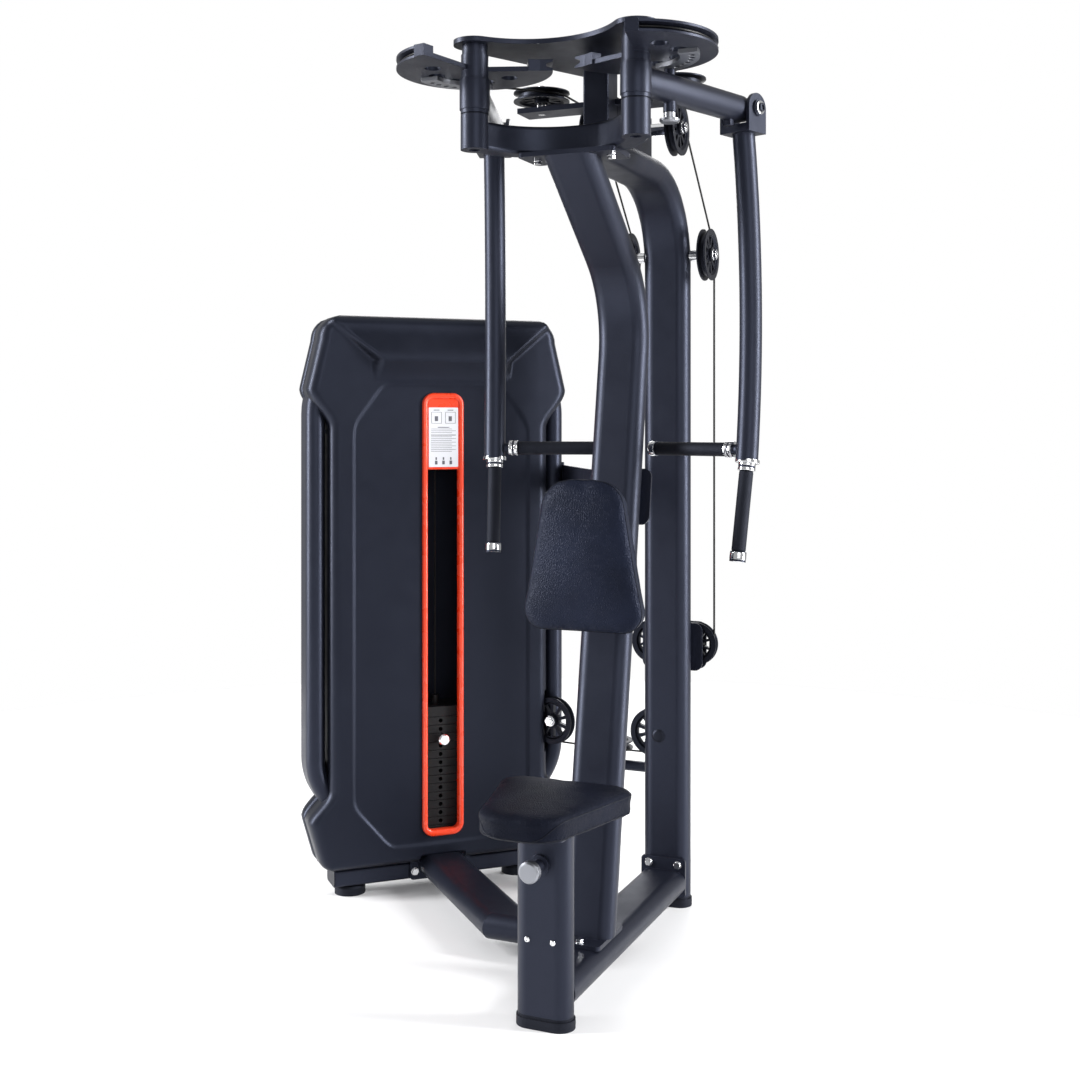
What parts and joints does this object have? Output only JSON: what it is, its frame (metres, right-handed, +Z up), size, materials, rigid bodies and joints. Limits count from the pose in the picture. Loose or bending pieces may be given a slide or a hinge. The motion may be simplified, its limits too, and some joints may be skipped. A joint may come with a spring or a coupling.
{
  "type": "pec deck machine",
  "caption": "Seated chest and rear shoulder machine: two swinging arms with hanging handles turn cams that lift a weight stack by cable.",
  "frame": {"origin": "on the floor at the middle of the footprint", "axes": "+Z up, +Y from the user towards the rear upright, +X to the right as seen from the front of the machine"},
  "size_m": [1.2793, 1.1873, 2.0375],
  "materials": {
    "frame_coat": "satin dark blue-grey powder coat",
    "chrome": "polished",
    "satin_steel": "satin",
    "black_plastic": "moulded matt",
    "shroud_plastic": "smooth dark grey",
    "trim_red": "smooth red-orange",
    "label_film": "printed film, no words",
    "upholstery": "black grained vinyl",
    "grip_rubber": "textured",
    "foot_rubber": "matt",
    "cable_jacket": "smooth black jacket",
    "weight_iron": "black paint"
  },
  "bodies": {
    "frame": {"seat_post": "frame_coat", "post_sleeve": "black_plastic", "base_spine": "frame_coat", "tower_beam": "frame_coat", "main_column": "frame_coat", "rear_upright": "frame_coat", "crown_yoke": "frame_coat", "pivot_shafts": "frame_coat", "top_plate": "frame_coat", "top_post": "frame_coat", "pulley_axles": "chrome", "column_brace": "frame_coat", "rubber_feet": "foot_rubber", "tower_base_bar": "frame_coat", "tower_frame": "frame_coat", "guide_rods": "chrome", "stack_bumpers": "foot_rubber", "front_shroud": "shroud_plastic", "rear_shroud": "shroud_plastic", "window_bezel": "trim_red", "placard": "label_film", "frame_bolts": "chrome", "back_pad": "upholstery", "fixed_weight_plates": "weight_iron", "arm_cables": "cable_jacket", "stack_cable": "cable_jacket", "carriage_strands": "cable_jacket", "pull_strand": "cable_jacket", "lift_strand": "cable_jacket"},
    "seat": {"seat_tube": "frame_coat", "seat_cushion": "upholstery"},
    "seat_pin": {"seat_pull_pin": "satin_steel"},
    "lifted_stack": {"lifted_weight_plates": "weight_iron"},
    "weight_selector": {"selector_pin": "chrome"},
    "carriage": {"pulley_carriage": "frame_coat"},
    "right_cam": {"right_cam": "frame_coat", "right_index_plate": "satin_steel"},
    "right_arm": {"right_arm": "frame_coat"},
    "right_handle": {"right_handle": "frame_coat", "right_grips": "grip_rubber"},
    "right_start_pin": {"right_start_pin": "satin_steel"},
    "left_cam": {"left_cam": "frame_coat", "left_index_plate": "satin_steel"},
    "left_arm": {"left_arm": "frame_coat"},
    "left_handle": {"left_handle": "frame_coat", "left_grips": "grip_rubber"},
    "left_start_pin": {"left_start_pin": "satin_steel"},
    "right_crown_pulley": {"right_crown_pulley": "black_plastic"},
    "left_crown_pulley": {"left_crown_pulley": "black_plastic"},
    "right_drop_pulley": {"right_drop_pulley": "black_plastic"},
    "right_side_pulley": {"right_side_pulley": "black_plastic"},
    "right_carriage_pulley": {"right_carriage_pulley": "black_plastic"},
    "left_drop_pulley": {"left_drop_pulley": "black_plastic"},
    "left_side_pulley": {"left_side_pulley": "black_plastic"},
    "left_carriage_pulley": {"left_carriage_pulley": "black_plastic"},
    "base_pulley": {"base_pulley": "black_plastic"},
    "turn_pulley": {"turn_pulley": "black_plastic"},
    "entry_pulley": {"entry_pulley": "black_plastic"},
    "top_entry_pulley": {"top_entry_pulley": "black_plastic"},
    "top_stack_pulley": {"top_stack_pulley": "black_plastic"}
  },
  "joints": [
    {"name": "seat_height", "type": "slide", "parent": "frame", "child": "seat", "axis": [0, 0, 1], "range_m": [0, 0.2]},
    {"name": "seat_pin_pull", "type": "slide", "parent": "frame", "child": "seat_pin", "axis": [0, -1, 0], "range_m": [0, 0.012], "stiffness_N_per_m": 400},
    {"name": "right_cam_turn", "type": "hinge", "parent": "frame", "child": "right_cam", "pos_m": [0.47, -0.379, 1.978], "axis": [0, 0, 1], "range_deg": [-110, 0]},
    {"name": "right_start_position", "type": "hinge", "parent": "right_cam", "child": "right_arm", "pos_m": [0.47, -0.379, 1.915], "axis": [0, 0, 1], "range_deg": [-60, 0]},
    {"name": "right_handle_swing", "type": "hinge", "parent": "right_arm", "child": "right_handle", "pos_m": [0.59372, -0.0197, 1.915], "axis": [-0.9455, 0.3256, 0], "range_deg": [-12, 0]},
    {"name": "right_start_pin_pull", "type": "slide", "parent": "right_arm", "child": "right_start_pin", "axis": [0, 0, -1], "range_m": [0, 0.012], "stiffness_N_per_m": 400},
    {"name": "left_cam_turn", "type": "hinge", "parent": "frame", "child": "left_cam", "pos_m": [0.11, -0.379, 1.978], "axis": [0, 0, 1], "range_deg": [0, 110]},
    {"name": "left_start_position", "type": "hinge", "parent": "left_cam", "child": "left_arm", "pos_m": [0.11, -0.379, 1.915], "axis": [0, 0, 1], "range_deg": [0, 60]},
    {"name": "left_handle_swing", "type": "hinge", "parent": "left_arm", "child": "left_handle", "pos_m": [-0.01372, -0.0197, 1.915], "axis": [0.9455, 0.3256, 0], "range_deg": [0, 12]},
    {"name": "left_start_pin_pull", "type": "slide", "parent": "left_arm", "child": "left_start_pin", "axis": [0, 0, -1], "range_m": [0, 0.012], "stiffness_N_per_m": 400},
    {"name": "carriage_lift", "type": "slide", "parent": "frame", "child": "carriage", "axis": [0, 0, 1], "range_m": [0, 0.3], "deforming": ["carriage_strands", "pull_strand"]},
    {"name": "stack_lift", "type": "slide", "parent": "frame", "child": "lifted_stack", "axis": [0, 0, 1], "range_m": [0, 0.3], "deforming": ["lift_strand"]},
    {"name": "selector_pull", "type": "slide", "parent": "lifted_stack", "child": "weight_selector", "axis": [0.7071, -0.7071, 0], "range_m": [0, 0.09]},
    {"name": "right_crown_pulley_turn", "type": "hinge", "parent": "frame", "child": "right_crown_pulley", "pos_m": [0.4535, -0.059, 1.978], "axis": [0, 0, 1], "range_deg": [0, 300]},
    {"name": "left_crown_pulley_turn", "type": "hinge", "parent": "frame", "child": "left_crown_pulley", "pos_m": [0.1265, -0.059, 1.978], "axis": [0, 0, 1], "range_deg": [-300, 0]},
    {"name": "right_drop_pulley_turn", "type": "hinge", "parent": "frame", "child": "right_drop_pulley", "pos_m": [0.396, 0.121, 1.9205], "axis": [1, 0, 0], "range_deg": [0, 300]},
    {"name": "right_side_pulley_turn", "type": "hinge", "parent": "frame", "child": "right_side_pulley", "pos_m": [0.396, 0.377, 1.65], "axis": [1, 0, 0], "range_deg": [0, 300]},
    {"name": "right_carriage_pulley_turn", "type": "hinge", "parent": "carriage", "child": "right_carriage_pulley", "pos_m": [0.348, 0.4345, 0.657], "axis": [0, 1, 0], "continuous": true},
    {"name": "left_drop_pulley_turn", "type": "hinge", "parent": "frame", "child": "left_drop_pulley", "pos_m": [0.184, 0.121, 1.9205], "axis": [1, 0, 0], "range_deg": [0, 300]},
    {"name": "left_side_pulley_turn", "type": "hinge", "parent": "frame", "child": "left_side_pulley", "pos_m": [0.184, 0.377, 1.65], "axis": [1, 0, 0], "range_deg": [0, 300]},
    {"name": "left_carriage_pulley_turn", "type": "hinge", "parent": "carriage", "child": "left_carriage_pulley", "pos_m": [0.232, 0.4345, 0.657], "axis": [0, 1, 0], "continuous": true},
    {"name": "base_pulley_turn", "type": "hinge", "parent": "frame", "child": "base_pulley", "pos_m": [0.235, 0.4345, 0.42], "axis": [0, 1, 0], "range_deg": [-360, 0]},
    {"name": "turn_pulley_turn", "type": "hinge", "parent": "frame", "child": "turn_pulley", "pos_m": [0.09, 0.4895, 0.365], "axis": [0, 0, 1], "range_deg": [0, 360]},
    {"name": "entry_pulley_turn", "type": "hinge", "parent": "frame", "child": "entry_pulley", "pos_m": [-0.062, 0.459, 0.42], "axis": [0.1639, 0.9865, 0], "range_deg": [-360, 0]},
    {"name": "top_entry_pulley_turn", "type": "hinge", "parent": "frame", "child": "top_entry_pulley", "pos_m": [-0.15515, 0.42912, 1.28], "axis": [-0.7071, 0.7071, 0], "range_deg": [0, 360]},
    {"name": "top_stack_pulley_turn", "type": "hinge", "parent": "frame", "child": "top_stack_pulley", "pos_m": [-0.29548, 0.32912, 1.28], "axis": [-0.7071, 0.7071, 0], "range_deg": [0, 360]}
  ],
  "couplings": [
    {"joint": "left_cam_turn", "follows": "right_cam_turn", "ratio": -1},
    {"joint": "carriage_lift", "follows": "right_cam_turn", "m_per_rad": -0.155},
    {"joint": "stack_lift", "follows": "right_cam_turn", "m_per_rad": -0.155},
    {"joint": "right_crown_pulley_turn", "follows": "right_cam_turn", "ratio": -2.6957},
    {"joint": "left_crown_pulley_turn", "follows": "right_cam_turn", "ratio": 2.6957},
    {"joint": "right_drop_pulley_turn", "follows": "right_cam_turn", "ratio": -2.6957},
    {"joint": "right_side_pulley_turn", "follows": "right_cam_turn", "ratio": -2.6957},
    {"joint": "left_drop_pulley_turn", "follows": "right_cam_turn", "ratio": -2.6957},
    {"joint": "left_side_pulley_turn", "follows": "right_cam_turn", "ratio": -2.6957},
    {"joint": "base_pulley_turn", "follows": "right_cam_turn", "ratio": 2.8182},
    {"joint": "turn_pulley_turn", "follows": "right_cam_turn", "ratio": -2.8182},
    {"joint": "entry_pulley_turn", "follows": "right_cam_turn", "ratio": 2.8182},
    {"joint": "top_entry_pulley_turn", "follows": "right_cam_turn", "ratio": -2.8182},
    {"joint": "top_stack_pulley_turn", "follows": "right_cam_turn", "ratio": -2.8182}
  ]
}
